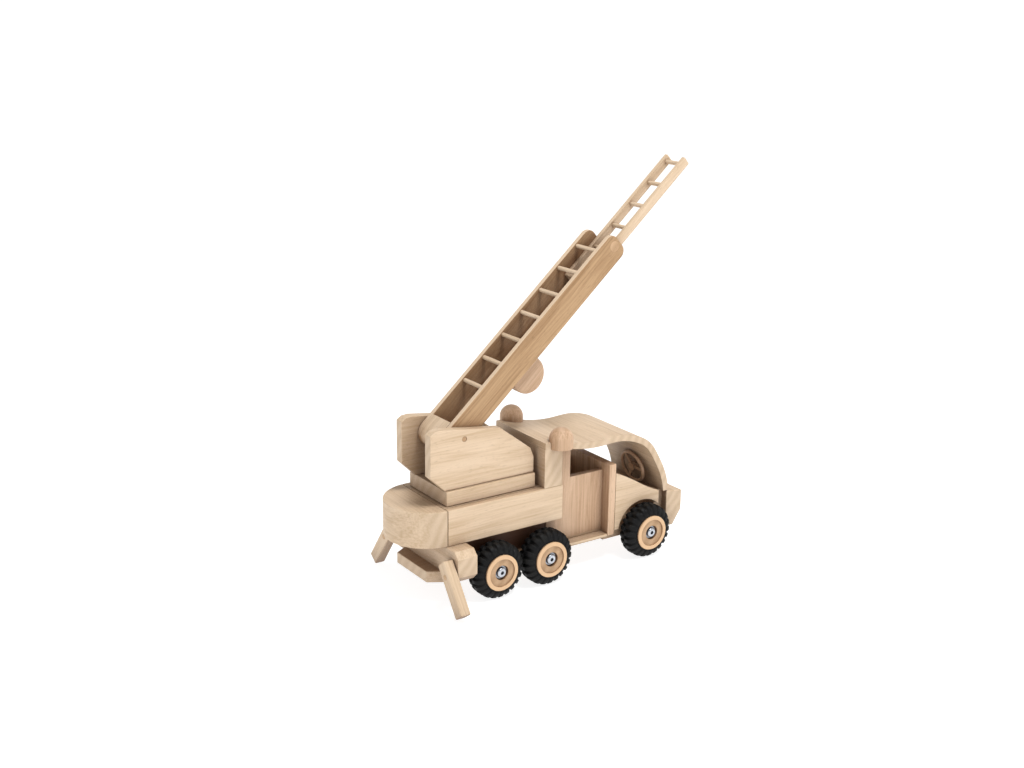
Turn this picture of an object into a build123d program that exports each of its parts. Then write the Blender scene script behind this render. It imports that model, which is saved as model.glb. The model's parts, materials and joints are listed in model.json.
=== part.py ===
from build123d import *
import os

# A wooden toy fire engine, in millimetres: X points forward, Y to the left, Z up, and the
# floor is Z = 0. Lengthwise places below are measured from the middle axle, and at the end
# the whole model is centred on its own box. Pairs are drawn on the left and mirrored.

# ---- wheels, in pairs on three axles ----
AXLE_X = {"rear": -54.0, "middle": 0.0, "front": 117.0}
TYRE_RADIUS = 26.0
TYRE_INNER = 35.0
TYRE_OUTER = 55.0
TYRE_SHOULDER = 3.0
TREAD_LUGS = 18
TREAD_DEPTH = 2.4
TREAD_GROOVE = 3.0
TREAD_REACH = 8.0
HUB_RADIUS = 16.7
HUB_INNER = 34.6
HUB_OUTER = 56.3
HUB_DISH_RADIUS = 13.0
HUB_DISH_DEPTH = 1.2
HUB_WELL_RADIUS = 6.8
HUB_WELL_DEPTH = 3.2
SCREW_RADIUS = 2.5
SCREW_INNER_END = 14.0
SCREW_HEAD_RADIUS = 4.6
SCREW_HEAD_HEIGHT = 2.8
SOCKET_RADIUS = 1.9
SOCKET_DEPTH = 1.8
WASHER_RADIUS = 6.0
WASHER_THICKNESS = 1.0
FIT = 0.05

# ---- chassis ----
EDGE = 0.8
CHASSIS_REAR = -114.0
CHASSIS_FRONT = 147.0
CHASSIS_HALF = 33.0
CHASSIS_BOTTOM = 20.0
CHASSIS_TOP = 30.5
TAIL_HALF = 25.5
TAIL_CORNER = 12.5
BEAM_REAR = -101.5
BEAM_FRONT = -81.5
BEAM_HALF = 58.0
BEAM_BOTTOM = 27.0
BEAM_CORNER = 6.0

# ---- bed ----
BODY_HALF = 39.7
BOARD = 6.2
BED_BOTTOM = 55.5
BED_TOP = 88.8
BED_REAR = -100.3
BED_SEAM = 0.3
BED_SIDE_FRONT = 22.5
DECK_BOTTOM = 74.0
RISER_HALF = 28.0
TAIL_BLOCK_CENTRE = -96.8

# ---- legs ----
LEG_PIVOT_Y = 53.5
LEG_PIVOT_Z = 35.0
LEG_SPLAY = 36.0
LEG_ABOVE = 13.0
LEG_BELOW = 37.0
LEG_WIDTH = 12.0
LEG_THICKNESS = 10.0
LEG_GAP = 0.5
LEG_PIN_RADIUS = 2.5
LEG_PIN_BITE = 12.0

# ---- cab ----
CAB_BACK = 12.0
CAB_BACK_THICKNESS = 7.5
WALL_REAR = 1.5
WALL_FRONT = 20.9
POST_FRONT = 38.0
CAB_SIDE_INNER = 23.0
CAB_SIDE_OUTER = 29.0
DOOR_TOP = 89.5
PARTITION_REAR = 76.0
PARTITION_FRONT = 84.0
PARTITION_BOTTOM = 26.0
PARTITION_TOP = 96.8
SILL_REAR = 28.0
SILL_BOTTOM = 25.5
SILL_TOP = 28.5
FRONT_SIDE_INNER = 32.5
BROW_TOP = 87.0
BROW_END = 60.0
NOSE_REAR = 137.0
NOSE_TOP = 58.0
ARCH_RADIUS = 28.5
BUMPER_FRONT = 166.0
BUMPER_BOTTOM = 20.5
ROOF_THICKNESS = 6.0
ROOF_SAMPLES = 16
ABOVE_ALL = 400.0

# ---- beacons and steering wheel ----
BEACON_X = 19.0
BEACON_RADIUS = 11.0
BEACON_BOTTOM = 125.0
BEACON_TOP = 144.0
BEACON_DOME = 10.8
STEERING_X = 131.5
STEERING_Y = -6.0
STEERING_Z = 75.5
STEERING_TILT = 15.0
STEERING_RADIUS = 17.0
STEERING_TUBE = 1.8
STEERING_HUB_RADIUS = 4.0
STEERING_HUB_HALF = 2.2
SPOKE_WIDTH = 3.0
SPOKE_THICKNESS = 2.0
SPOKES = 3
COLUMN_RADIUS = 2.0

# ---- turret ----
TURRET_X = -48.0
TURRET_GAP = 0.3
PLATE_REAR = -96.7
PLATE_FRONT = -3.0
PLATE_HALF = 31.6
PLATE_TOP = 102.6
CHEEK_INNER = 19.8
CHEEK_OUTER = 28.9
PIVOT_RADIUS = 3.0
PIVOT_HEAD_RADIUS = 7.0
PIVOT_HEAD_HEIGHT = 3.5
PIVOT_WELL = 4.5
PIVOT_END = 78.0
HINGE_X = -77.0
HINGE_Z = 147.0
HINGE_RADIUS = 2.5
HINGE_INSET = 0.5

# ---- ladders, laid level with the hinge at the origin and raised at the end ----
LADDER_ANGLE = 42.0
RAIL_INNER = 14.5
RAIL_OUTER = 19.5
RAIL_HALF_DEPTH = 12.5
RAIL_START = -20.0
RAIL_END = 231.0
RAIL_TOP_ROUND = 8.0
FOOT_END = 4.0
RUNG_RADIUS = 2.0
RUNG_LEVEL = 9.5
RUNG_BITE = 3.0
RUNG_START = 46.2
RUNG_PITCH = 27.2
RUNG_COUNT = 7
PLUG_AT = 224.0
PLUG_LEVEL = 1.0
PLUG_RADIUS = 5.0
PLUG_DEPTH = 1.5
STRIP_INNER = 10.2
STRIP_LOW = -11.0
STRIP_HIGH = -8.3
STRIP_START = 48.0
STRIP_END = 222.0
INNER_START = 182.0
INNER_END = 336.0
INNER_RAIL_INNER = 10.0
INNER_RAIL_OUTER = 14.2
INNER_LOW = -8.0
INNER_HIGH = 0.5
INNER_RUNG_LEVEL = -3.6
INNER_RUNG_TOP = 330.5
INNER_RUNG_COUNT = 5
INNER_RUNG_BITE = 2.5
CROSSBAR_LENGTH = 8.0
CROSSBAR_LOW = -8.9
ROLLER_RADIUS = 2.1
ROLLER_LEVEL = -10.4
ROLLER_PLACES = (44.0, 227.0)
CORD_RADIUS = 0.8
CORD_HOLE_RADIUS = 1.0
KNOB_AT = 88.0
KNOB_LEVEL = -27.0
KNOB_RADIUS = 17.5
KNOB_HALF = 5.0
KNOB_EDGE = 1.2

CORD_WRAP = ROLLER_RADIUS + CORD_RADIUS
UPPER_STRAND = ROLLER_LEVEL + CORD_WRAP
LOWER_STRAND = ROLLER_LEVEL - CORD_WRAP
INNER_WASHER_OUTER = HUB_INNER - FIT
WELL_FLOOR = HUB_OUTER - HUB_DISH_DEPTH - HUB_WELL_DEPTH
SCREW_SEAT = WELL_FLOOR + FIT + WASHER_THICKNESS


# ---- shared shapes ----


def board(x_low, x_high, y_low, y_high, z_low, z_high, edge=EDGE):
    """A plain board between two corners, its edges eased."""
    centre = ((x_low + x_high) / 2, (y_low + y_high) / 2, (z_low + z_high) / 2)
    shape = Pos(*centre) * Box(x_high - x_low, y_high - y_low, z_high - z_low)
    return fillet(shape.edges(), edge) if edge else shape


def across(face, y_low, y_high):
    """A face in the XZ plane carried across the toy from one Y to another."""
    return Pos(0, y_low, 0) * extrude(face, amount=y_high - y_low, dir=(0, 1, 0))


def side_face(points):
    """A straight-sided face in the XZ plane."""
    return make_face(Polyline(*[(x, 0, z) for x, z in points], close=True))


def rod_x(y, z, radius, x_low, x_high):
    """A round rod along X."""
    return Pos((x_low + x_high) / 2, y, z) * Rot(0, 90, 0) * Cylinder(radius, x_high - x_low)


def rod_y(x, z, radius, y_low, y_high):
    """A round rod along Y."""
    return Pos(x, (y_low + y_high) / 2, z) * Rot(90, 0, 0) * Cylinder(radius, y_high - y_low)


def mirrored(shape):
    """The same piece on the right side of the toy."""
    return mirror(shape, about=Plane.XZ)


def at_every_wheel(shape):
    """A left-hand piece repeated at each of the six wheels."""
    copies = []
    for x in AXLE_X.values():
        left = Pos(x, 0, TYRE_RADIUS) * shape
        copies += [left, mirrored(left)]
    return copies


# ---- wheels ----


def tyre():
    """A chunky tyre round the Y axis, its shoulders cut into staggered lugs."""
    shoulder = TYRE_SHOULDER
    section = [
        (HUB_RADIUS, TYRE_INNER),
        (TYRE_RADIUS - shoulder, TYRE_INNER),
        (TYRE_RADIUS, TYRE_INNER + shoulder),
        (TYRE_RADIUS, TYRE_OUTER - shoulder),
        (TYRE_RADIUS - shoulder, TYRE_OUTER),
        (HUB_RADIUS, TYRE_OUTER),
    ]
    ring = revolve(make_face(Polyline(*[(r, y, 0) for r, y in section], close=True)), axis=Axis.Y)
    groove = Box(2 * TREAD_DEPTH, 2 * TREAD_REACH, TREAD_GROOVE)
    step = 360.0 / TREAD_LUGS
    for lug in range(TREAD_LUGS):
        for side, lead in ((TYRE_INNER, 0.0), (TYRE_OUTER, 0.5)):
            ring -= Rot(0, (lug + lead) * step, 0) * Pos(TYRE_RADIUS, side, 0) * groove
    return ring


def hub():
    """A turned hub with a dished face and a well for the screw."""
    disc = rod_y(0, 0, HUB_RADIUS, HUB_INNER, HUB_OUTER)
    disc = fillet(disc.edges().group_by(Axis.Y)[-1], EDGE)
    disc -= rod_y(0, 0, HUB_DISH_RADIUS, HUB_OUTER - HUB_DISH_DEPTH, HUB_OUTER + 1)
    disc -= rod_y(0, 0, HUB_WELL_RADIUS, WELL_FLOOR, HUB_OUTER + 1)
    return disc - rod_y(0, 0, SCREW_RADIUS + FIT, HUB_INNER - 1, HUB_OUTER + 1)


def wheel_screw():
    """A domed screw with a six-sided socket."""
    top = SCREW_SEAT + SCREW_HEAD_HEIGHT
    head = rod_y(0, 0, SCREW_HEAD_RADIUS, SCREW_SEAT, top)
    head = fillet(head.edges().group_by(Axis.Y)[-1], SCREW_HEAD_HEIGHT * 0.6)
    hexagon = extrude(RegularPolygon(SOCKET_RADIUS, 6), SOCKET_DEPTH / 2, both=True)
    socket = Pos(0, top - SOCKET_DEPTH / 2, 0) * Rot(90, 0, 0) * hexagon
    return (head - socket) + rod_y(0, 0, SCREW_RADIUS, SCREW_INNER_END, SCREW_SEAT)


def washer(y_low, y_high):
    """A flat washer round a wheel screw."""
    return rod_y(0, 0, WASHER_RADIUS, y_low, y_high) - rod_y(0, 0, SCREW_RADIUS, y_low, y_high)


# ---- chassis and bed ----


def chassis_board():
    """The long base board, its tail corners cut back into a step, bored for the screws."""
    corner = CHASSIS_REAR + TAIL_CORNER
    outline = Polyline(
        (CHASSIS_FRONT, CHASSIS_HALF),
        (corner, CHASSIS_HALF),
        (CHASSIS_REAR, TAIL_HALF),
        (CHASSIS_REAR, -TAIL_HALF),
        (corner, -CHASSIS_HALF),
        (CHASSIS_FRONT, -CHASSIS_HALF),
        close=True,
    )
    plank = Pos(0, 0, CHASSIS_BOTTOM) * extrude(make_face(outline), CHASSIS_TOP - CHASSIS_BOTTOM)
    plank = fillet(plank.edges(), EDGE)
    for bore in at_every_wheel(rod_y(0, 0, SCREW_RADIUS, SCREW_INNER_END, CHASSIS_HALF + 1)):
        plank -= bore
    notch = board(SILL_REAR, PARTITION_REAR, CAB_SIDE_OUTER, CHASSIS_HALF + 1, 0, CHASSIS_TOP + 1, 0)
    return plank - notch - mirrored(notch)


def outrigger_beam():
    """The cross beam over the chassis behind the rear wheels, its long edges cut off."""
    cut = BEAM_CORNER
    outline = [
        (BEAM_REAR, BEAM_BOTTOM),
        (BEAM_FRONT, BEAM_BOTTOM),
        (BEAM_FRONT, BED_BOTTOM),
        (BEAM_REAR, BED_BOTTOM),
    ]
    beam = across(side_face(outline), -BEAM_HALF, BEAM_HALF)
    beam = chamfer(beam.edges().filter_by(Axis.X), cut)
    beam = fillet(beam.edges(), EDGE)
    beam -= board(
        BEAM_REAR - 1, BEAM_FRONT + 1, -CHASSIS_HALF, CHASSIS_HALF, BEAM_BOTTOM - 1, CHASSIS_TOP, 0
    )
    socket_end = BEAM_REAR + LEG_PIN_BITE
    for side in (1, -1):
        beam -= rod_x(side * LEG_PIVOT_Y, LEG_PIVOT_Z, LEG_PIN_RADIUS, BEAM_REAR - 1, socket_end)
    return beam


def bed_riser():
    """The block that carries the deck, stepped at the rear over the outrigger beam."""
    outline = [
        (BEAM_FRONT, CHASSIS_TOP),
        (CAB_BACK, CHASSIS_TOP),
        (CAB_BACK, DECK_BOTTOM),
        (BED_REAR, DECK_BOTTOM),
        (BED_REAR, BED_BOTTOM),
        (BEAM_FRONT, BED_BOTTOM),
    ]
    return across(side_face(outline), -RISER_HALF, RISER_HALF)


def bed_deck():
    inner = BODY_HALF - BOARD
    deck = board(BED_REAR, CAB_BACK, -inner, inner, DECK_BOTTOM, BED_TOP, 0)
    return deck - Pos(TURRET_X, 0, 0) * extrude(Pos(0, 0, PIVOT_END) * Circle(PIVOT_RADIUS), BED_TOP)


def bed_side():
    return board(BED_REAR + BED_SEAM, BED_SIDE_FRONT, BODY_HALF - BOARD, BODY_HALF, BED_BOTTOM, BED_TOP)


def tail_block():
    """The half-round block behind the bed."""
    height = BED_TOP - BED_BOTTOM
    middle = (BED_TOP + BED_BOTTOM) / 2
    drum = Pos(TAIL_BLOCK_CENTRE, 0, middle) * Cylinder(BODY_HALF, height)
    behind = board(BED_REAR - 2 * BODY_HALF, BED_REAR, -2 * BODY_HALF, 2 * BODY_HALF, 0, ABOVE_ALL, 0)
    half = drum & behind
    return fillet(half.edges(), EDGE)


def running_board():
    return board(SILL_REAR, PARTITION_REAR, CAB_SIDE_OUTER, BODY_HALF, SILL_BOTTOM, SILL_TOP)


# ---- legs ----


def leg():
    """The left leg, splayed outward, bored for its pin."""
    front = BEAM_REAR - LEG_GAP
    rear = front - LEG_THICKNESS
    half = LEG_WIDTH / 2
    bar = board(rear, front, -half, half, -LEG_BELOW, LEG_ABOVE, 1.4)
    bar -= rod_x(0, 0, LEG_PIN_RADIUS + FIT, rear - 1, front + 1)
    return Pos(0, LEG_PIVOT_Y, LEG_PIVOT_Z) * Rot(LEG_SPLAY, 0, 0) * bar


def leg_pin():
    rear = BEAM_REAR - LEG_GAP - LEG_THICKNESS
    return rod_x(LEG_PIVOT_Y, LEG_PIVOT_Z, LEG_PIN_RADIUS, rear, BEAM_REAR + LEG_PIN_BITE)


# ---- cab ----


def roof_top():
    """The roof's top line from above the bed, over the cab and down to the nose."""
    return Spline(
        (2.0, 0, 131.5),
        (22.0, 0, 129.0),
        (45.0, 0, 124.7),
        (64.0, 0, 123.6),
        (85.0, 0, 124.4),
        (104.0, 0, 121.0),
        (123.7, 0, 110.5),
        (134.6, 0, 95.5),
        (143.0, 0, 79.5),
        (148.6, 0, NOSE_TOP),
    )


def roof_underside():
    """The same line, one sheet's thickness inside it."""
    top = roof_top()
    places = []
    for sample in range(ROOF_SAMPLES + 1):
        along = sample / ROOF_SAMPLES
        tangent = top % along
        places.append(top @ along + Vector(tangent.Z, 0, -tangent.X) * ROOF_THICKNESS)
    return Spline(*places)


def roof_panel():
    """One bent sheet, cut round the beacons at its rear corners."""
    top = roof_top()
    under = roof_underside()
    section = make_face([top, Line(top @ 1, under @ 1), under, Line(under @ 0, top @ 0)])
    sheet = across(section, -BODY_HALF, BODY_HALF)
    base = board(0, ABOVE_ALL, -ABOVE_ALL, ABOVE_ALL, 0, NOSE_TOP, 0)
    return sheet - base - beacon_space()


def above_roof_underside():
    """All the space from the underside of the roof upward, to trim what meets it."""
    under = roof_underside()
    first = under @ 0
    last = under @ 1
    closing = Polyline(
        last,
        (last.X + 50, 0, last.Z),
        (last.X + 50, 0, ABOVE_ALL),
        (first.X - 50, 0, ABOVE_ALL),
        (first.X - 50, 0, first.Z),
        first,
    )
    return across(make_face([under] + closing.edges()), -2 * BODY_HALF, 2 * BODY_HALF)


def beacon_space():
    """The two upright bores that the beacons stand in."""
    height = BEACON_TOP - BEACON_BOTTOM
    left = Pos(BEACON_X, BODY_HALF, BEACON_BOTTOM + height / 2) * Cylinder(BEACON_RADIUS, height)
    return left + mirrored(left)


def beacon():
    """A domed lamp standing in the roof's rear corner."""
    height = BEACON_TOP - BEACON_BOTTOM
    post = Pos(BEACON_X, BODY_HALF, BEACON_BOTTOM + height / 2) * Cylinder(BEACON_RADIUS, height)
    return fillet(post.edges().group_by(Axis.Z)[-1], BEACON_DOME)


def cab_rear_wall():
    wall = board(WALL_REAR, WALL_FRONT, -BODY_HALF, BODY_HALF, BED_TOP, ABOVE_ALL, 0)
    return wall - above_roof_underside() - beacon_space()


def cab_back_panel():
    return board(
        CAB_BACK, CAB_BACK + CAB_BACK_THICKNESS, -CAB_SIDE_INNER, CAB_SIDE_INNER, CHASSIS_TOP, BED_TOP, 0
    )


def cab_side():
    """A door panel with the post behind its window."""
    outline = [
        (CAB_BACK, CHASSIS_TOP),
        (PARTITION_REAR, CHASSIS_TOP),
        (PARTITION_REAR, DOOR_TOP),
        (POST_FRONT, DOOR_TOP),
        (POST_FRONT, ABOVE_ALL),
        (WALL_FRONT, ABOVE_ALL),
        (WALL_FRONT, BED_TOP),
        (CAB_BACK, BED_TOP),
    ]
    panel = across(side_face(outline), CAB_SIDE_INNER, CAB_SIDE_OUTER)
    return panel - above_roof_underside() - beacon_space()


def cab_partition():
    """The board behind the driver, reaching down outside the chassis."""
    panel = board(PARTITION_REAR, PARTITION_FRONT, -BODY_HALF, BODY_HALF, PARTITION_BOTTOM, PARTITION_TOP)
    slot = board(PARTITION_REAR - 1, PARTITION_FRONT + 1, -CHASSIS_HALF, CHASSIS_HALF, 0, CHASSIS_TOP, 0)
    return panel - slot


def front_side():
    """The driver's side board: a falling curve above and a wheel arch below."""
    brow = Spline(
        (PARTITION_FRONT, 0, BROW_TOP),
        (98.0, 0, 80.5),
        (113.0, 0, 72.0),
        (126.0, 0, 64.6),
        (NOSE_REAR, 0, BROW_END),
    )
    rest = Polyline(
        (NOSE_REAR, 0, BROW_END),
        (NOSE_REAR, 0, CHASSIS_TOP),
        (PARTITION_FRONT, 0, CHASSIS_TOP),
        (PARTITION_FRONT, 0, BROW_TOP),
    )
    panel = across(make_face([brow] + rest.edges()), FRONT_SIDE_INNER, BODY_HALF)
    return panel - rod_y(AXLE_X["front"], TYRE_RADIUS, ARCH_RADIUS, 0, 2 * BODY_HALF)


def nose_block():
    """The block behind the bumper that the roof's lower end stands on."""
    return board(NOSE_REAR, CHASSIS_FRONT, -CHASSIS_HALF, CHASSIS_HALF, CHASSIS_TOP, NOSE_TOP, 0)


def bumper():
    outline = [
        (CHASSIS_FRONT, BUMPER_BOTTOM),
        (156.5, BUMPER_BOTTOM),
        (BUMPER_FRONT, 35.0),
        (BUMPER_FRONT, 54.5),
        (CHASSIS_FRONT, NOSE_TOP - 1),
    ]
    return fillet(across(side_face(outline), -BODY_HALF, BODY_HALF).edges(), EDGE)


def at_steering(shape):
    """A piece drawn round the Z axis at the origin, moved onto the sloping column."""
    return Pos(STEERING_X, STEERING_Y, STEERING_Z) * Rot(0, 90 - STEERING_TILT, 0) * shape


def steering_wheel():
    """A ring with a hub and spokes, facing the driver."""
    reach = STEERING_RADIUS - STEERING_TUBE
    wheel = Torus(reach, STEERING_TUBE) + Cylinder(STEERING_HUB_RADIUS, 2 * STEERING_HUB_HALF)
    for spoke in range(SPOKES):
        turn = 360.0 / SPOKES * (spoke + 0.25)
        wheel += Rot(0, 0, turn) * Pos(reach / 2, 0, 0) * Box(reach, SPOKE_WIDTH, SPOKE_THICKNESS)
    return at_steering(wheel - Cylinder(COLUMN_RADIUS + FIT, 4 * STEERING_HUB_HALF))


def steering_column():
    """The rod that the steering wheel turns on, standing out of the roof's front."""
    reach = STEERING_RADIUS
    length = reach + STEERING_HUB_HALF
    rod = at_steering(Pos(0, 0, length / 2 - STEERING_HUB_HALF) * Cylinder(COLUMN_RADIUS, length))
    return rod - above_roof_underside()


# ---- turret ----


def turret_plate():
    low = BED_TOP + TURRET_GAP
    plate = board(PLATE_REAR, PLATE_FRONT, -PLATE_HALF, PLATE_HALF, low, PLATE_TOP)
    plate -= Pos(TURRET_X, 0, PLATE_TOP) * Cylinder(PIVOT_HEAD_RADIUS + 1, 2 * PIVOT_WELL)
    return plate - Pos(TURRET_X, 0, PLATE_TOP) * Cylinder(PIVOT_RADIUS + FIT, 4 * (PLATE_TOP - low))


def turret_pivot():
    """The screw that the turret turns on, its head sunk in the plate."""
    seat = PLATE_TOP - PIVOT_WELL + FIT
    shank = Pos(TURRET_X, 0, (PIVOT_END + seat) / 2) * Cylinder(PIVOT_RADIUS, seat - PIVOT_END)
    head = Pos(TURRET_X, 0, seat + PIVOT_HEAD_HEIGHT / 2) * Cylinder(PIVOT_HEAD_RADIUS, PIVOT_HEAD_HEIGHT)
    return shank + fillet(head.edges().group_by(Axis.Z)[-1], PIVOT_HEAD_HEIGHT * 0.5)


def turret_cheek():
    """The tall side board that holds one end of the ladder's hinge pin."""
    outline = [
        (PLATE_REAR, PLATE_TOP),
        (-111.5, 117.0),
        (-111.5, 155.0),
        (-107.0, 158.0),
        (-101.0, 158.7),
        (-39.4, 150.5),
        (-6.8, 126.0),
        (PLATE_FRONT, 117.0),
        (PLATE_FRONT, PLATE_TOP),
    ]
    panel = fillet(across(side_face(outline), CHEEK_INNER, CHEEK_OUTER).edges(), EDGE)
    return panel - rod_y(HINGE_X, HINGE_Z, HINGE_RADIUS, 0, CHEEK_OUTER + 1)


def hinge_pin():
    reach = CHEEK_OUTER - HINGE_INSET
    return rod_y(HINGE_X, HINGE_Z, HINGE_RADIUS, -reach, reach)


# ---- ladders ----


def raised(shape):
    """A piece drawn level, turned up about the hinge."""
    return Pos(HINGE_X, 0, HINGE_Z) * Rot(0, -LADDER_ANGLE, 0) * shape


def both_sides_raised(shape):
    """A left-hand ladder piece and its mirror image, raised."""
    return [raised(shape), raised(mirrored(shape))]


def rail_solid(y_low, y_high):
    """The outer ladder's side outline, half round at the foot and eased at the top."""
    half = RAIL_HALF_DEPTH
    foot = RAIL_START + half
    foot_arc = ThreePointArc((foot, 0, half), (RAIL_START, 0, 0), (foot, 0, -half))
    rest = Polyline((foot, 0, -half), (RAIL_END, 0, -half), (RAIL_END, 0, half), (foot, 0, half))
    plank = across(make_face([foot_arc] + rest.edges()), y_low, y_high)
    return fillet(plank.edges().filter_by(Axis.Y).group_by(Axis.X)[-1], RAIL_TOP_ROUND)


def rung_places():
    return [RUNG_START + RUNG_PITCH * rung for rung in range(RUNG_COUNT)]


def inner_rung_places():
    return [INNER_RUNG_TOP - RUNG_PITCH * rung for rung in range(INNER_RUNG_COUNT)]


def outer_rail():
    rail = fillet(rail_solid(RAIL_INNER, RAIL_OUTER).edges(), EDGE)
    rail -= rod_y(0, 0, HINGE_RADIUS + FIT, 0, RAIL_OUTER + 1)
    rail -= rod_y(PLUG_AT, PLUG_LEVEL, PLUG_RADIUS, RAIL_OUTER - PLUG_DEPTH, RAIL_OUTER + 1)
    for place in rung_places():
        rail -= rod_y(place, RUNG_LEVEL, RUNG_RADIUS, 0, RAIL_INNER + RUNG_BITE)
    return rail


def rail_plug():
    """The round plug let into the top of a rail's outer face."""
    return rod_y(PLUG_AT, PLUG_LEVEL, PLUG_RADIUS, RAIL_OUTER - PLUG_DEPTH, RAIL_OUTER)


def outer_rungs():
    reach = RAIL_INNER + RUNG_BITE
    return [raised(rod_y(place, RUNG_LEVEL, RUNG_RADIUS, -reach, reach)) for place in rung_places()]


def ladder_foot():
    """The block between the rails at the hinge."""
    keep = board(2 * RAIL_START, FOOT_END, -RAIL_OUTER, RAIL_OUTER, -RAIL_OUTER, RAIL_OUTER, 0)
    block = rail_solid(-RAIL_INNER, RAIL_INNER) & keep
    return block - rod_y(0, 0, HINGE_RADIUS + FIT, -RAIL_OUTER, RAIL_OUTER)


def guide_strip():
    return board(STRIP_START, STRIP_END, STRIP_INNER, RAIL_INNER, STRIP_LOW, STRIP_HIGH, 0)


def rollers():
    return [
        raised(rod_y(place, ROLLER_LEVEL, ROLLER_RADIUS, -RAIL_INNER, RAIL_INNER)) for place in ROLLER_PLACES
    ]


def pull_cord():
    """A closed loop of cord round both rollers."""
    first, last = ROLLER_PLACES
    upper, lower = UPPER_STRAND, LOWER_STRAND
    route = Wire(
        [
            Line((first, 0, upper), (last, 0, upper)),
            ThreePointArc((last, 0, upper), (last + CORD_WRAP, 0, ROLLER_LEVEL), (last, 0, lower)),
            Line((last, 0, lower), (first, 0, lower)),
            ThreePointArc((first, 0, lower), (first - CORD_WRAP, 0, ROLLER_LEVEL), (first, 0, upper)),
        ]
    )
    section = Plane((first, 0, upper), x_dir=(0, 1, 0), z_dir=(1, 0, 0)) * Circle(CORD_RADIUS)
    return sweep(section, path=route)


def inner_rail():
    rail = board(INNER_START, INNER_END, INNER_RAIL_INNER, INNER_RAIL_OUTER, INNER_LOW, INNER_HIGH)
    for place in inner_rung_places():
        rail -= rod_y(place, INNER_RUNG_LEVEL, RUNG_RADIUS, 0, INNER_RAIL_INNER + INNER_RUNG_BITE)
    return rail


def inner_rungs():
    reach = INNER_RAIL_INNER + INNER_RUNG_BITE
    rungs = [rod_y(place, INNER_RUNG_LEVEL, RUNG_RADIUS, -reach, reach) for place in inner_rung_places()]
    return [raised(rung) for rung in rungs]


def inner_crossbar():
    """The inner ladder's lower bar, threaded on the cord's upper strand."""
    end = INNER_START + CROSSBAR_LENGTH
    bar = board(INNER_START, end, -INNER_RAIL_INNER, INNER_RAIL_INNER, CROSSBAR_LOW, INNER_HIGH, 0)
    return bar - rod_x(0, UPPER_STRAND, CORD_HOLE_RADIUS, INNER_START - 1, end + 1)


def pull_knob():
    """The disc under the ladder, threaded on the cord's lower strand."""
    disc = rod_y(KNOB_AT, KNOB_LEVEL, KNOB_RADIUS, -KNOB_HALF, KNOB_HALF)
    disc = fillet(disc.edges().filter_by(GeomType.CIRCLE), KNOB_EDGE)
    return disc - rod_x(0, LOWER_STRAND, CORD_HOLE_RADIUS, KNOB_AT - KNOB_RADIUS, KNOB_AT + KNOB_RADIUS)


# ---- the whole toy ----


def all_nodes():
    """Every node's name with its solids."""
    nodes = {
        "chassis_board": [chassis_board()],
        "outrigger_beam": [outrigger_beam()],
        "bed_riser": [bed_riser()],
        "bed_deck": [bed_deck()],
        "tail_block": [tail_block()],
        "leg_pins": [leg_pin(), mirrored(leg_pin())],
        "cab_rear_wall": [cab_rear_wall()],
        "cab_back_panel": [cab_back_panel()],
        "cab_partition": [cab_partition()],
        "nose_block": [nose_block()],
        "bumper": [bumper()],
        "roof_panel": [roof_panel()],
        "steering_wheel": [steering_wheel()],
        "steering_column": [steering_column()],
        "turret_plate": [turret_plate()],
        "turret_pivot": [turret_pivot()],
        "ladder_hinge_pin": [hinge_pin()],
        "outer_rungs": outer_rungs(),
        "ladder_foot": [raised(ladder_foot())],
        "guide_strips": both_sides_raised(guide_strip()),
        "rail_plugs": both_sides_raised(rail_plug()),
        "cord_rollers": rollers(),
        "pull_cord": [raised(pull_cord())],
        "inner_rungs": inner_rungs(),
        "inner_crossbar": [raised(inner_crossbar())],
        "pull_knob": [raised(pull_knob())],
        "wheel_screws": at_every_wheel(wheel_screw()),
        "inner_washers": at_every_wheel(washer(CHASSIS_HALF, INNER_WASHER_OUTER)),
        "outer_washers": at_every_wheel(washer(WELL_FLOOR + FIT, SCREW_SEAT)),
    }
    pairs = {
        "bed_side": bed_side(),
        "running_board": running_board(),
        "cab_side": cab_side(),
        "front_side": front_side(),
        "beacon": beacon(),
        "leg": leg(),
        "turret_cheek": turret_cheek(),
        "outer_rail": raised(outer_rail()),
        "inner_rail": raised(inner_rail()),
    }
    for axle, x in AXLE_X.items():
        pairs["tyre_" + axle] = Pos(x, 0, TYRE_RADIUS) * tyre()
        pairs["hub_" + axle] = Pos(x, 0, TYRE_RADIUS) * hub()
    for name, left in pairs.items():
        nodes[name + "_left"] = [left]
        nodes[name + "_right"] = [mirrored(left)]
    return nodes


NODES = all_nodes()
BOXES = [solid.bounding_box() for solids in NODES.values() for solid in solids]
MIDDLE_X = (min(box.min.X for box in BOXES) + max(box.max.X for box in BOXES)) / 2

os.makedirs("parts", exist_ok=True)
for node, solids in NODES.items():
    moved = [Pos(-MIDDLE_X, 0, 0) * solid for solid in solids]
    shape = moved[0] if len(moved) == 1 else Compound(children=moved)
    export_step(shape, "parts/" + node + ".step")
print(len(NODES), "nodes, moved along X by", round(-MIDDLE_X, 4))
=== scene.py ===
import json
import math

import bmesh
import bpy
from mathutils import Matrix, Vector


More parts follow.
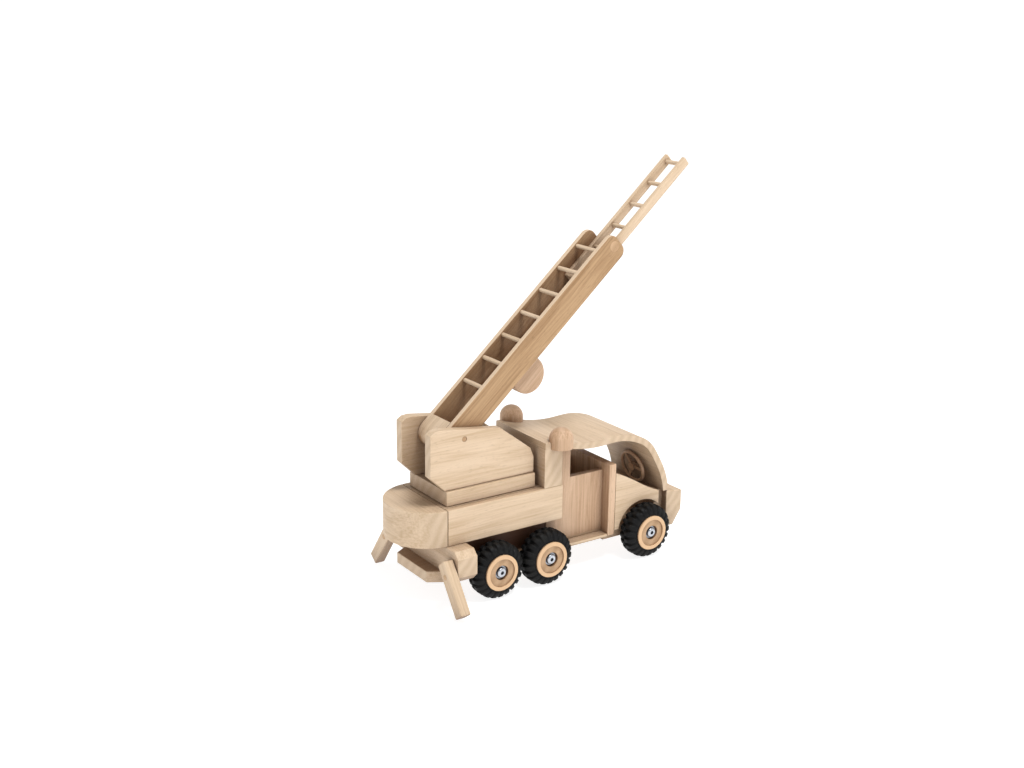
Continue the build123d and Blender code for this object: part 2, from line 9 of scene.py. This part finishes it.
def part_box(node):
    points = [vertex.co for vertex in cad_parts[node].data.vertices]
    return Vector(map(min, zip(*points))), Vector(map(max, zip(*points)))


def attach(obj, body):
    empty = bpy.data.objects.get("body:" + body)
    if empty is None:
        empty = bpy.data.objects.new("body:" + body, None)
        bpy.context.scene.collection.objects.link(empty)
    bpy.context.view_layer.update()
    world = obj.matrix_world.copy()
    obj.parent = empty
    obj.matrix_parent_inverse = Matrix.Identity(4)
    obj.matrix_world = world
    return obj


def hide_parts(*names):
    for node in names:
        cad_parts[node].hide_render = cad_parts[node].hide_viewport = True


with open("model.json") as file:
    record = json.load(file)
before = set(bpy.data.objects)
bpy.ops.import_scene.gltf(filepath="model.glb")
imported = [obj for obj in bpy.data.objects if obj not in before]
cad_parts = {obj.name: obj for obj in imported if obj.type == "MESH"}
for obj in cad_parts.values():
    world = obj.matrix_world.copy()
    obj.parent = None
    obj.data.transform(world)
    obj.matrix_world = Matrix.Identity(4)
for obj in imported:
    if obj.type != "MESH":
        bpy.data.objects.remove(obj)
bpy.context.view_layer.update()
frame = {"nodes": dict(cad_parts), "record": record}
MM = 0.001

# ---- places taken from the frame ----
JOINTS = {joint["name"]: joint for joint in frame["record"]["behaviour"]["joints"]}
HINGE = Vector(JOINTS["ladder_pitch"]["pos_m"])
ALONG = Vector(JOINTS["ladder_slide"]["axis"]).normalized()
ACROSS = Vector((0, 1, 0))
UPWARD = ALONG.cross(ACROSS).normalized()
WHEELS = {
    name.removesuffix("_spin"): Vector(joint["pos_m"])
    for name, joint in JOINTS.items()
    if "_wheel_" in name
}
LEG_SPLAY = math.radians(36)

# ---- wood tones, linear ----
PALE = (0.78, 0.60, 0.425)
PALE_DARK = (0.58, 0.41, 0.25)
DOOR = (0.75, 0.525, 0.355)
DOOR_DARK = (0.48, 0.29, 0.165)
RAIL = (0.56, 0.36, 0.195)
RAIL_DARK = (0.30, 0.160, 0.068)
WARM = (0.68, 0.45, 0.265)
WARM_DARK = (0.42, 0.235, 0.110)
# Painted shade: near black wood for the parts that sit in shadow, the riser and the back panel.
PAINTED_SHADE_WOOD = (0.085, 0.040, 0.024)
PAINTED_SHADE_WOOD_DARK = (0.040, 0.018, 0.011)
# Painted shade: the deep brown that wood corners and gaps darken towards.
CORNER_SHADE_COLOUR = (0.115, 0.050, 0.027)


# ---- node helpers ----

NOISE_ROUGHNESS = 0.55
SHADING_SAMPLES = 4
# Painted shade in corners: the occlusion range over which it darkens, and how far it darkens.
SHADE_OPENNESS = (0.92, 0.25)
SHADE_SHARE = 0.75


class Nodes:
    """A material's node tree, with short calls for the nodes used here."""

    def __init__(self, name):
        self.material = bpy.data.materials.new(name)
        self.material.use_nodes = True
        self.tree = self.material.node_tree
        self.shader = self.tree.nodes["Principled BSDF"]

    def add(self, kind, inputs=None, **settings):
        """A node with its settings and inputs; an input is a value or another node's socket."""
        node = self.tree.nodes.new(kind)
        for key, value in settings.items():
            setattr(node, key, value)
        for key, value in (inputs or {}).items():
            self.feed(node.inputs[key], value)
        return node

    def feed(self, socket, value):
        if isinstance(value, bpy.types.NodeSocket):
            self.tree.links.new(value, socket)
        else:
            socket.default_value = value

    def math(self, operation, first, second=0.0):
        return self.add("ShaderNodeMath", {0: first, 1: second}, operation=operation).outputs[0]

    def ramp(self, value, low, high):
        """value stretched so that low becomes 0 and high becomes 1, clamped."""
        inputs = {"Value": value, "From Min": low, "From Max": high}
        node = self.add("ShaderNodeMapRange", inputs, interpolation_type="SMOOTHSTEP")
        return node.outputs["Result"]

    def blend(self, factor, first, second):
        """The colour first where factor is 0 and second where it is 1."""
        node = self.add("ShaderNodeMix", data_type="RGBA")
        self.feed(node.inputs[0], factor)
        self.feed(node.inputs[6], first)
        self.feed(node.inputs[7], second)
        return node.outputs[2]

    def noise(self, vector, scale, detail):
        inputs = {"Vector": vector, "Scale": scale, "Detail": detail, "Roughness": NOISE_ROUGHNESS}
        return self.add("ShaderNodeTexNoise", inputs).outputs["Fac"]

    def scaled(self, vector, scale):
        """The vector with each of its parts times that part of scale."""
        node = self.add("ShaderNodeVectorMath", {0: vector, 1: scale}, operation="MULTIPLY")
        return node.outputs[0]

    def dot(self, first, second):
        node = self.add("ShaderNodeVectorMath", {0: first, 1: second}, operation="DOT_PRODUCT")
        return node.outputs["Value"]

    def colour(self, factor, first, second):
        """Sets the surface's colour: first where factor is 0 and second where it is 1."""
        self.feed(self.shader.inputs["Base Color"], self.blend(factor, rgba(first), rgba(second)))

    def painted_shade(self, reach):
        """Painted shade from ambient occlusion: 0 in the open, rising to the set share deep in
        corners and gaps.
        """
        node = self.add("ShaderNodeAmbientOcclusion", {"Distance": reach}, samples=SHADING_SAMPLES)
        return self.math("MULTIPLY", self.ramp(node.outputs["AO"], *SHADE_OPENNESS), SHADE_SHARE)

    def bump(self, height, strength, distance):
        inputs = {"Height": height, "Strength": strength, "Distance": distance}
        node = self.add("ShaderNodeBump", inputs)
        self.feed(self.shader.inputs["Normal"], node.outputs["Normal"])


def rgba(colour, share=1.0):
    """A colour, or a share of it, with full opacity."""
    return (*[share * channel for channel in colour], 1.0)


# ---- materials ----

# Scales are in cycles a metre, along the grain and then twice across it. Each range gives the
# values of a pattern between which its effect goes from none to full.
WARP_SCALE = (6, 25, 25)
WARP_SHIFT = (0.0, 12 * MM, 12 * MM)
RING_SCALE = (1.2, 34, 34)
STREAK_SCALE = (14, 620, 620)
FLECK_SCALE = (170, 1500, 1500)
BROAD_SCALE = (7, 30, 30)
PORE_SCALE = 1900.0
SEED_SHIFT = (0.37, 0.113, 0.071)
RING_SHARE = 0.07
STREAK_SHARE = 0.62
BROAD_SHARE = 0.45
FIGURE_RANGE = (0.38, 0.86)
FLECK_RANGE = (0.62, 0.74)
FLECK_SHARE = 0.30
END_RANGE = (0.72, 0.95)
END_SHARE = 0.75
EDGE_ROUNDING = 1.1 * MM
EDGE_RANGE = (0.995, 0.90)
PATCH_RANGE = (0.40, 0.62)
WEAR_SHARE = 0.35
# Painted highlight on the faces that look a given way: the range over which they turn paler, and
# how far.
LIT_SIDE_RANGE = (0.45, 0.80)
LIT_SIDE_SHARE = 0.85
RIM_STEP = 0.4 * MM
# Painted shade: how far the occlusion reaches in wood.
WOOD_SHADE_REACH = 45 * MM
# Painted shade in metal: how far the occlusion reaches, and the colour its hollows darken towards.
METAL_SHADE_REACH = 4 * MM
METAL_SHADE_COLOUR = (0.02, 0.02, 0.03)
METAL_MARK_SCALE = (900, 5200, 900)


def wood(name, grain, light, dark, seed, rim=None, painted_lit_side=None):
    """Sanded beech: streaks, faint rings, flecks, darker ends, burnished edges and painted shade
    in corners and gaps.

    Where rim is given, the wood further than that from the toy's middle is paler. Where
    a lit side is given, the faces that look that way get a painted highlight.
    """
    nodes = Nodes(name)
    place = nodes.add("ShaderNodeTexCoord")
    spin = Vector(grain).normalized().rotation_difference(Vector((1, 0, 0))).to_euler()
    offset = [seed * shift for shift in SEED_SHIFT]
    mapping = {"Vector": place.outputs["Object"], "Rotation": spin, "Location": offset}
    turned = nodes.add("ShaderNodeMapping", mapping).outputs[0]
    warp = nodes.noise(nodes.scaled(turned, WARP_SCALE), 1.0, 2.0)
    shifted = nodes.add(
        "ShaderNodeVectorMath", {0: turned, 1: nodes.scaled(warp, WARP_SHIFT)}, operation="ADD"
    ).outputs[0]
    ringed = nodes.scaled(shifted, RING_SCALE)
    wave = {"Vector": ringed, "Scale": 1.0, "Distortion": 1.6, "Detail": 2.0}
    wave_node = nodes.add("ShaderNodeTexWave", wave, wave_type="RINGS", rings_direction="X")
    rings = wave_node.outputs["Fac"]
    streaks = nodes.noise(nodes.scaled(shifted, STREAK_SCALE), 1.0, 4.0)
    flecks = nodes.noise(nodes.scaled(turned, FLECK_SCALE), 1.0, 1.0)
    broad = nodes.noise(nodes.scaled(turned, BROAD_SCALE), 1.0, 2.0)

    figure = nodes.math("MULTIPLY", rings, RING_SHARE)
    figure = nodes.math("ADD", figure, nodes.math("MULTIPLY", streaks, STREAK_SHARE))
    figure = nodes.math("ADD", figure, nodes.math("MULTIPLY", broad, BROAD_SHARE))
    colour = nodes.blend(nodes.ramp(figure, *FIGURE_RANGE), rgba(light), rgba(dark))
    fleck_mask = nodes.math("MULTIPLY", nodes.ramp(flecks, *FLECK_RANGE), FLECK_SHARE)
    colour = nodes.blend(fleck_mask, colour, rgba(dark, 0.55))

    along = Vector(grain).normalized()
    facing = nodes.dot(place.outputs["Normal"], along)
    end_mask = nodes.ramp(nodes.math("ABSOLUTE", facing), *END_RANGE)
    pores = nodes.noise(turned, PORE_SCALE, 2.0)
    pores = nodes.math("MULTIPLY", pores, rings)
    end_tone = nodes.blend(pores, rgba(light, 0.88), rgba(dark, 0.86))
    colour = nodes.blend(nodes.math("MULTIPLY", end_mask, END_SHARE), colour, end_tone)

    bevel = nodes.add("ShaderNodeBevel", {"Radius": EDGE_ROUNDING}, samples=SHADING_SAMPLES)
    rounded = bevel.outputs[0]
    straight = nodes.add("ShaderNodeNewGeometry").outputs["Normal"]
    alike = nodes.dot(rounded, straight)
    edges = nodes.ramp(alike, *EDGE_RANGE)
    wear = nodes.math("MULTIPLY", edges, nodes.ramp(broad, *PATCH_RANGE))
    colour = nodes.blend(nodes.math("MULTIPLY", wear, WEAR_SHARE), colour, rgba(dark, 0.80))
    # Painted highlight: faces that look the given way are painted paler, as if lit from above.
    if painted_lit_side:
        lit_side_mask = nodes.ramp(nodes.dot(place.outputs["Normal"], painted_lit_side), *LIT_SIDE_RANGE)
        colour = nodes.blend(nodes.math("MULTIPLY", lit_side_mask, LIT_SIDE_SHARE), colour, rgba(PALE))
    # Painted shade: corners and gaps darken towards a deep brown, as shadow would.
    colour = nodes.blend(nodes.painted_shade(WOOD_SHADE_REACH), colour, rgba(CORNER_SHADE_COLOUR))
    if rim:
        apart = nodes.add("ShaderNodeSeparateXYZ", {0: place.outputs["Object"]}).outputs
        across = nodes.math("ABSOLUTE", apart["Y"])
        colour = nodes.blend(nodes.ramp(across, rim - RIM_STEP, rim), colour, rgba(light, 1.12))

    shader = nodes.shader.inputs
    nodes.feed(shader["Base Color"], colour)
    rough = nodes.math("ADD", nodes.math("MULTIPLY", streaks, 0.22), 0.40)
    rough = nodes.math("SUBTRACT", rough, nodes.math("MULTIPLY", wear, 0.10))
    nodes.feed(shader["Roughness"], rough)
    shader["Specular IOR Level"].default_value = 0.35
    height = nodes.math("SUBTRACT", streaks, nodes.math("MULTIPLY", fleck_mask, 2.0))
    nodes.bump(height, 0.30, 0.25 * MM)
    return nodes.material


def rubber(name):
    """Matt black rubber with mould grain and dusty raised parts."""
    nodes = Nodes(name)
    place = nodes.add("ShaderNodeTexCoord").outputs["Object"]
    grain = nodes.noise(place, 1400.0, 3.0)
    dust = nodes.ramp(nodes.noise(place, 90.0, 4.0), 0.42, 0.75)
    nodes.colour(dust, (0.0065, 0.0065, 0.0070), (0.0150, 0.0145, 0.0135))
    nodes.shader.inputs["Specular IOR Level"].default_value = 0.15
    rough = nodes.math("ADD", nodes.math("MULTIPLY", dust, 0.18), 0.50)
    nodes.feed(nodes.shader.inputs["Roughness"], rough)
    nodes.bump(grain, 0.35, 0.12 * MM)
    return nodes.material


def zinc(name):
    """Bright zinc plate with turning marks, a slight stain and painted shade in its hollows."""
    nodes = Nodes(name)
    place = nodes.add("ShaderNodeTexCoord").outputs["Object"]
    marks = nodes.noise(nodes.scaled(place, METAL_MARK_SCALE), 1.0, 2.0)
    stain = nodes.noise(place, 260.0, 3.0)
    plate = nodes.blend(stain, rgba((0.66, 0.69, 0.74)), rgba((0.42, 0.45, 0.50)))
    # Painted shade: the hollows in and round the screw heads darken towards near black.
    plate = nodes.blend(nodes.painted_shade(METAL_SHADE_REACH), plate, rgba(METAL_SHADE_COLOUR))
    nodes.feed(nodes.shader.inputs["Base Color"], plate)
    nodes.shader.inputs["Metallic"].default_value = 1.0
    rough = nodes.math("ADD", nodes.math("MULTIPLY", marks, 0.20), 0.22)
    nodes.feed(nodes.shader.inputs["Roughness"], rough)
    nodes.bump(marks, 0.20, 0.05 * MM)
    return nodes.material


def cotton(name):
    """Natural cotton with fine fibres."""
    nodes = Nodes(name)
    place = nodes.add("ShaderNodeTexCoord").outputs["Object"]
    fibres = nodes.noise(place, 3500.0, 3.0)
    nodes.colour(fibres, (0.50, 0.42, 0.30), (0.30, 0.24, 0.16))
    nodes.shader.inputs["Roughness"].default_value = 0.9
    nodes.shader.inputs["Sheen Weight"].default_value = 0.3
    nodes.bump(fibres, 0.5, 0.1 * MM)
    return nodes.material


# ---- what each CAD node is made of ----

X_WISE, Y_WISE, Z_WISE = (1, 0, 0), (0, 1, 0), (0, 0, 1)
GRAIN = {
    "chassis_board": X_WISE,
    "outrigger_beam": Y_WISE,
    "bed_riser": X_WISE,
    "bed_deck": X_WISE,
    "bed_side": X_WISE,
    "tail_block": Y_WISE,
    "cab_rear_wall": Y_WISE,
    "cab_back_panel": Y_WISE,
    "cab_partition": Z_WISE,
    "cab_side": Z_WISE,
    "front_side": X_WISE,
    "nose_block": Y_WISE,
    "bumper": Y_WISE,
    "roof_panel": Y_WISE,
    "running_board": X_WISE,
    "beacon": Z_WISE,
    "turret_plate": X_WISE,
    "turret_cheek": X_WISE,
    "outer_rail": ALONG,
    "inner_rail": ALONG,
    "guide_strips": ALONG,
    "pull_knob": ALONG,
    "ladder_foot": ALONG,
    "hub": Y_WISE,
    "leg_left": (0, math.sin(LEG_SPLAY), -math.cos(LEG_SPLAY)),
    "leg_right": (0, -math.sin(LEG_SPLAY), -math.cos(LEG_SPLAY)),
}
WARM_NODES = ("hub", "leg_pins", "rail_plugs", "ladder_hinge_pin", "cord_rollers")
DOOR_NODES = ("cab_side", "cab_partition", "pull_knob", "steering", "beacon")
RAIL_NODES = ("outer_rail", "guide_strips")
# These get the painted shade wood, as dark as the shadow they sit in.
PAINTED_SHADE_NODES = ("bed_riser", "cab_back_panel")
METAL_NODES = ("wheel_screws", "inner_washers", "outer_washers", "turret_pivot")
TONES = (
    (DOOR_NODES, DOOR, DOOR_DARK),
    (RAIL_NODES, RAIL, RAIL_DARK),
    (WARM_NODES, WARM, WARM_DARK),
    (PAINTED_SHADE_NODES, PAINTED_SHADE_WOOD, PAINTED_SHADE_WOOD_DARK),
    (("",), PALE, PALE_DARK),  # every other node
)


def paint(piece, material):
    piece.data.materials.clear()
    piece.data.materials.append(material)


def grain_of(name):
    """The way a node's grain runs; across the toy where GRAIN doesn't say."""
    for start, grain in GRAIN.items():
        if name.startswith(start):
            return grain
    return Y_WISE


def finish_cad_nodes():
    """Gives every CAD node a finish of its own, so that no two boards match."""
    metal = zinc("zinc_plate")
    for seed, name in enumerate(sorted(frame["nodes"])):
        piece = frame["nodes"][name]
        if name.startswith(METAL_NODES):
            paint(piece, metal)
        elif not name.startswith(("tyre", "pull_cord")):
            light, dark = next(tones for starts, *tones in TONES if name.startswith(starts))
            low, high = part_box(name)
            rim = max(-low[1], high[1]) - RIM_STEP if name.startswith("hub") else None
            # Painted highlight: the outer rails' faces that look up from the ladder are painted
            # paler, as if lit.
            painted_lit_side = UPWARD if name.startswith("outer_rail") else None
            paint(piece, wood(name + "_wood", grain_of(name), light, dark, seed, rim, painted_lit_side))


# ---- tyres ----

TYRE_LUGS = 22
TYRE_TURNS = 396
TYRE_PROFILE_STEPS = 56
LUG_HEIGHT = 2.3 * MM
LUG_STAGGER = 0.5
LUG_LEAN = 0.10
LUG_RISE = (0.0, 0.06)
LUG_FALL = (0.58, 0.64)
CENTRE_GROOVE = (0.02, 0.10)
CARCASS_SWELL = 0.9 * MM
BEAD_HEIGHT = 0.5 * MM
BEAD_RISE = (0.12, 0.20)
BEAD_FALL = (0.30, 0.38)
SIDEWALL_SHARE = 0.6
SIDEWAYS_SHARE = 0.9
SHOULDER_RADIUS = 5.5 * MM
SHOULDER_LUGS = 0.2
SHOULDER_RISE = (0.86, 1.0)


def smooth(value, low, high):
    """0 below low, 1 above high and a soft step between."""
    along = min(max((value - low) / (high - low), 0.0), 1.0)
    return along * along * (3 - 2 * along)


def lug_height(turn, side):
    """How far the tread stands out, 0 to 1, at a turn in lugs and a place from -1 to 1 across."""
    row = 0.0 if side < 0 else LUG_STAGGER
    phase = (turn + row + LUG_LEAN * abs(side)) % 1.0
    block = smooth(phase, *LUG_RISE) * (1 - smooth(phase, *LUG_FALL))
    return block * smooth(abs(side), *CENTRE_GROOVE)


def tyre_section(lowest, highest, radius, bore):
    """The tyre's section from the inner bead over the tread to the outer one.

    Each entry is radius, place across, outward direction (radial, across), side from -1 to 1 on
    the tread, and how much of the lugs shows there.
    """
    middle = (highest + lowest) / 2
    crown = radius - LUG_HEIGHT
    wall = (highest - lowest) / 2 - CARCASS_SWELL
    corner = SHOULDER_RADIUS
    wall_steps = TYRE_PROFILE_STEPS // 4
    runs = []
    for side in (-1, 1):
        run = []
        for step in range(wall_steps + 1):
            along = step / wall_steps
            height = bore + (crown - corner - bore) * along
            swell = CARCASS_SWELL * math.sin(math.pi * along)
            bead = BEAD_HEIGHT * (smooth(along, *BEAD_RISE) - smooth(along, *BEAD_FALL))
            across = wall + SIDEWALL_SHARE * (swell + bead)
            share = SHOULDER_LUGS * smooth(along, *SHOULDER_RISE)
            run.append((height, middle + side * across, 0.0, side, side, share))
        for step in range(1, wall_steps):
            angle = math.pi / 2 * step / wall_steps
            rise, out = math.sin(angle), math.cos(angle)
            height = crown - corner + corner * rise
            across = wall - corner + corner * out
            share = SHOULDER_LUGS + (1 - SHOULDER_LUGS) * rise
            run.append((height, middle + side * across, rise, side * out, side, share))
        runs.append(run)
    inner, outer = runs
    tread = []
    tread_steps = TYRE_PROFILE_STEPS // 2
    for step in range(tread_steps + 1):
        side = -1 + 2 * step / tread_steps
        tread.append((crown, middle + side * (wall - corner), 1.0, 0.0, side, 1.0))
    return inner + tread + outer[::-1]


def build_tyre(wheel, centre):
    """A tyre with moulded lugs, in place of the plain one, on its own wheel."""
    side = 1 if centre.y > 0 else -1
    axle, where = wheel.split("_")[:2]
    node = "tyre_" + axle + "_" + where
    low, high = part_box(node)
    near, far = sorted((abs(low[1]), abs(high[1])))
    radius = (high[2] - low[2]) / 2
    hub_low, hub_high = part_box("hub_" + axle + "_" + where)
    bore = (hub_high[2] - hub_low[2]) / 2
    section = tyre_section(near, far, radius, bore)
    sideways_limit = CARCASS_SWELL * SIDEWAYS_SHARE
    mesh = bmesh.new()
    rings = []
    for turn in range(TYRE_TURNS):
        angle = 2 * math.pi * turn / TYRE_TURNS
        ring = []
        for height, across, radial, sideways, place, share in section:
            lift = LUG_HEIGHT * share * lug_height(turn * TYRE_LUGS / TYRE_TURNS, place)
            out = height + lift * radial
            across_out = across + min(lift, sideways_limit) * sideways
            across_out = min(max(across_out, near), far)
            forward, upward = out * math.cos(angle), out * math.sin(angle)
            spot = (centre.x + forward, side * across_out, centre.z + upward)
            ring.append(mesh.verts.new(spot))
        rings.append(ring)
    count = len(section)
    for turn in range(TYRE_TURNS):
        here, there = rings[turn], rings[(turn + 1) % TYRE_TURNS]
        for step in range(count):
            ahead = (step + 1) % count
            mesh.faces.new((here[step], here[ahead], there[ahead], there[step]))
    bmesh.ops.recalc_face_normals(mesh, faces=mesh.faces)
    return node, piece_from(mesh, "moulded_" + node)


def piece_from(mesh, name):
    """A smooth-shaded piece from a bmesh."""
    data = bpy.data.meshes.new(name)
    mesh.to_mesh(data)
    mesh.free()
    data.shade_smooth()
    piece = bpy.data.objects.new(name, data)
    bpy.context.collection.objects.link(piece)
    return piece


def dress_wheels():
    """A moulded tyre on each wheel."""
    material = rubber("tyre_rubber")
    for wheel, centre in WHEELS.items():
        node, piece = build_tyre(wheel, centre)
        paint(piece, material)
        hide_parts(node)
        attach(piece, wheel)


# ---- cord ----

ROLLERS = (44.0 * MM, 227.0 * MM)
ROLLER_LEVEL = -10.4 * MM
CORD_WRAP = 2.9 * MM
STRANDS = 3
STRAND_RADIUS = 0.41 * MM
STRAND_ORBIT = 0.39 * MM
TWIST_LENGTH = 4.5 * MM
CORD_STEP = 0.45 * MM
TUBE_SIDES = 8
KNOT_RADIUS = 0.35 * MM
KNOT_SIZE = 0.30 * MM
KNOT_STRETCH = 1.6
KNOT_STEPS = 72
KNOB_MIDDLE = 88.0 * MM
KNOB_KNOT_REACH = 11.8 * MM
CROSSBAR_MIDDLE = 186.0 * MM
CROSSBAR_KNOT_REACH = 5.0 * MM


def on_ladder(along, level, across=0.0):
    """A point given along the ladder, square to it and across it."""
    return HINGE + ALONG * along + UPWARD * level + ACROSS * across


def tube(mesh, centres, radius):
    """Adds a round tube along a closed run of points."""
    rings = []
    count = len(centres)
    for index, centre in enumerate(centres):
        ahead = centres[(index + 1) % count] - centres[index - 1]
        first = ahead.cross(ACROSS)
        first = first.normalized() if first.length > 1e-9 else UPWARD.copy()
        second = ahead.normalized().cross(first)
        ring = []
        for side in range(TUBE_SIDES):
            angle = 2 * math.pi * side / TUBE_SIDES
            outward = first * math.cos(angle) + second * math.sin(angle)
            ring.append(mesh.verts.new(centre + radius * outward))
        rings.append(ring)
    for index in range(count):
        here, there = rings[index], rings[(index + 1) % count]
        for side in range(TUBE_SIDES):
            ahead = (side + 1) % TUBE_SIDES
            mesh.faces.new((here[side], here[ahead], there[ahead], there[side]))


def loop_place(distance):
    """Where the cord's middle is, a distance round the loop from the upper run's foot.

    Gives the place along the ladder, the level square to it, and the direction out of the loop.
    """
    run = ROLLERS[1] - ROLLERS[0]
    bend = math.pi * CORD_WRAP
    if distance < run:
        return ROLLERS[0] + distance, ROLLER_LEVEL + CORD_WRAP, UPWARD
    if run + bend <= distance < 2 * run + bend:
        return ROLLERS[1] - (distance - run - bend), ROLLER_LEVEL - CORD_WRAP, -UPWARD
    if distance < run + bend:
        roller = ROLLERS[1]
        angle = math.pi / 2 - (distance - run) / CORD_WRAP
    else:
        roller = ROLLERS[0]
        angle = -math.pi / 2 - (distance - 2 * run - bend) / CORD_WRAP
    forward, upward = math.cos(angle), math.sin(angle)
    outward = ALONG * forward + UPWARD * upward
    return roller + CORD_WRAP * forward, ROLLER_LEVEL + CORD_WRAP * upward, outward


def build_cord():
    """Three strands laid round each other along the whole loop."""
    length = 2 * (ROLLERS[1] - ROLLERS[0]) + 2 * math.pi * CORD_WRAP
    turns = round(length / TWIST_LENGTH)
    samples = round(length / CORD_STEP)
    mesh = bmesh.new()
    for strand in range(STRANDS):
        centres = []
        for sample in range(samples):
            along, level, outward = loop_place(length * sample / samples)
            angle = 2 * math.pi * (turns * sample / samples + strand / STRANDS)
            lean = outward * math.cos(angle) + ACROSS * math.sin(angle)
            centres.append(on_ladder(along, level) + lean * STRAND_ORBIT)
        tube(mesh, centres, STRAND_RADIUS)
    bmesh.ops.recalc_face_normals(mesh, faces=mesh.faces)
    return piece_from(mesh, "twisted_cord")


def build_knot(name, along, level):
    """A small overhand knot, drawn as a closed trefoil."""
    mesh = bmesh.new()
    centres = []
    for sample in range(KNOT_STEPS):
        turn = 2 * math.pi * sample / KNOT_STEPS
        reach = 2 + math.cos(3 * turn)
        across = KNOT_SIZE * reach * math.cos(2 * turn)
        upward = KNOT_SIZE * reach * math.sin(2 * turn)
        forward = KNOT_SIZE * math.sin(3 * turn) * KNOT_STRETCH
        centres.append(on_ladder(along + forward, level + upward, across))
    tube(mesh, centres, KNOT_RADIUS)
    bmesh.ops.recalc_face_normals(mesh, faces=mesh.faces)
    return piece_from(mesh, name)


def dress_cord():
    """The cord on the outer ladder, and a knot on each side of the knob and of the crossbar."""
    material = cotton("cotton_cord")
    cord = build_cord()
    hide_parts("pull_cord")
    lower_run = ROLLER_LEVEL - CORD_WRAP
    upper_run = ROLLER_LEVEL + CORD_WRAP
    places = {
        "knob": ("pull_knob", lower_run, KNOB_MIDDLE, KNOB_KNOT_REACH),
        "inner_ladder": ("inner_crossbar", upper_run, CROSSBAR_MIDDLE, CROSSBAR_KNOT_REACH),
    }
    pieces = {cord: "ladder"}
    for body, (node, level, middle, reach) in places.items():
        for end, way in (("low", -1), ("high", 1)):
            knot = build_knot(node + "_" + end + "_knot", middle + way * reach, level)
            pieces[knot] = body
    for piece, body in pieces.items():
        paint(piece, material)
        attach(piece, body)


# ---- the setting ----

WHITE = (1.0, 1.0, 1.0)
FLOOR_GLOW = 0.85
FLOOR_HALF_SIZE = 60.0
# The sky's heights are sines of the angle above level.
SKY_LOW = 0.28
SKY_HIGH = 0.36
HORIZON_LIGHT = 1.0
OVERHEAD_LIGHT = 0.38
LIGHT_TARGET = (0.0, 0.0, 0.12)
# Each light's name, place, size across and power.
LIGHTS = (
    ("key", (0.2, -0.75, 2.2), 0.8, 33.0),
    ("front_fill", (1.8, -0.9, 1.1), 1.4, 1.5),
    ("back_fill", (-1.2, 1.7, 1.6), 1.6, 1.0),
)
SENSOR_WIDTH = 36.0
CAMERA_FROM_MIDDLE_AXLE = Vector((-0.6893, -0.9874, 0.5339))
CAMERA_AZIMUTH = math.radians(-34.6)
CAMERA_ELEVATION = math.radians(16.5)
CAMERA_ROLL = math.radians(0.8)
CAMERA_LENS = 48.9


def build_floor():
    """Pale paper under the toy, wide enough to have no edge in sight."""
    nodes = Nodes("paper")
    place = nodes.add("ShaderNodeTexCoord").outputs["Object"]
    fibre = nodes.noise(place, 300.0, 2.0)
    nodes.colour(fibre, (0.42, 0.42, 0.42), (0.38, 0.38, 0.38))
    nodes.shader.inputs["Roughness"].default_value = 0.9
    nodes.shader.inputs["Emission Color"].default_value = rgba(WHITE)
    nodes.shader.inputs["Emission Strength"].default_value = FLOOR_GLOW
    mesh = bmesh.new()
    bmesh.ops.create_grid(mesh, x_segments=1, y_segments=1, size=FLOOR_HALF_SIZE)
    floor = piece_from(mesh, "floor")
    paint(floor, nodes.material)


def build_light(name, place, size, power):
    """A round area light that faces the toy."""
    lamp = bpy.data.lights.new(name, "AREA")
    lamp.shape = "DISK"
    lamp.size = size
    lamp.energy = power
    holder = bpy.data.objects.new(name, lamp)
    holder.location = place
    away = Vector(place) - Vector(LIGHT_TARGET)
    holder.rotation_euler = away.to_track_quat("Z", "Y").to_euler()
    bpy.context.collection.objects.link(holder)


def build_sky():
    """White low down, where a level view sees it, and softer overhead."""
    world = bpy.data.worlds.new("studio")
    world.use_nodes = True
    nodes = world.node_tree.nodes
    links = world.node_tree.links
    place = nodes.new("ShaderNodeTexCoord")
    apart = nodes.new("ShaderNodeSeparateXYZ")
    fade = nodes.new("ShaderNodeMapRange")
    fade.inputs["From Min"].default_value = SKY_LOW
    fade.inputs["From Max"].default_value = SKY_HIGH
    fade.inputs["To Min"].default_value = HORIZON_LIGHT
    fade.inputs["To Max"].default_value = OVERHEAD_LIGHT
    links.new(place.outputs["Generated"], apart.inputs[0])
    links.new(apart.outputs["Z"], fade.inputs["Value"])
    links.new(fade.outputs["Result"], nodes["Background"].inputs["Strength"])
    nodes["Background"].inputs["Color"].default_value = rgba(WHITE)
    bpy.context.scene.world = world


def build_lights():
    for light in LIGHTS:
        build_light(*light)
    build_sky()
    bpy.context.scene.view_settings.view_transform = "Standard"


def build_camera():
    """Looks at the toy from its right rear, a little from above."""
    data = bpy.data.cameras.new("camera")
    data.sensor_width = SENSOR_WIDTH
    data.lens = CAMERA_LENS
    level = math.cos(CAMERA_ELEVATION)
    sideways, backward = math.sin(CAMERA_AZIMUTH), -math.cos(CAMERA_AZIMUTH)
    back = Vector((sideways * level, backward * level, math.sin(CAMERA_ELEVATION)))
    right = Vector((0, 0, 1)).cross(back).normalized()
    up = back.cross(right)
    rolled_right = right * math.cos(CAMERA_ROLL) + up * math.sin(CAMERA_ROLL)
    rolled_up = up * math.cos(CAMERA_ROLL) - right * math.sin(CAMERA_ROLL)
    turn = Matrix((rolled_right, rolled_up, back)).transposed()
    camera = bpy.data.objects.new("camera", data)
    middle_axle = Vector((WHEELS["middle_left_wheel"].x, 0.0, 0.0))
    camera.matrix_world = Matrix.Translation(middle_axle + CAMERA_FROM_MIDDLE_AXLE) @ turn.to_4x4()
    bpy.context.collection.objects.link(camera)
    bpy.context.scene.camera = camera


finish_cad_nodes()
dress_wheels()
dress_cord()
build_floor()
build_lights()
build_camera()
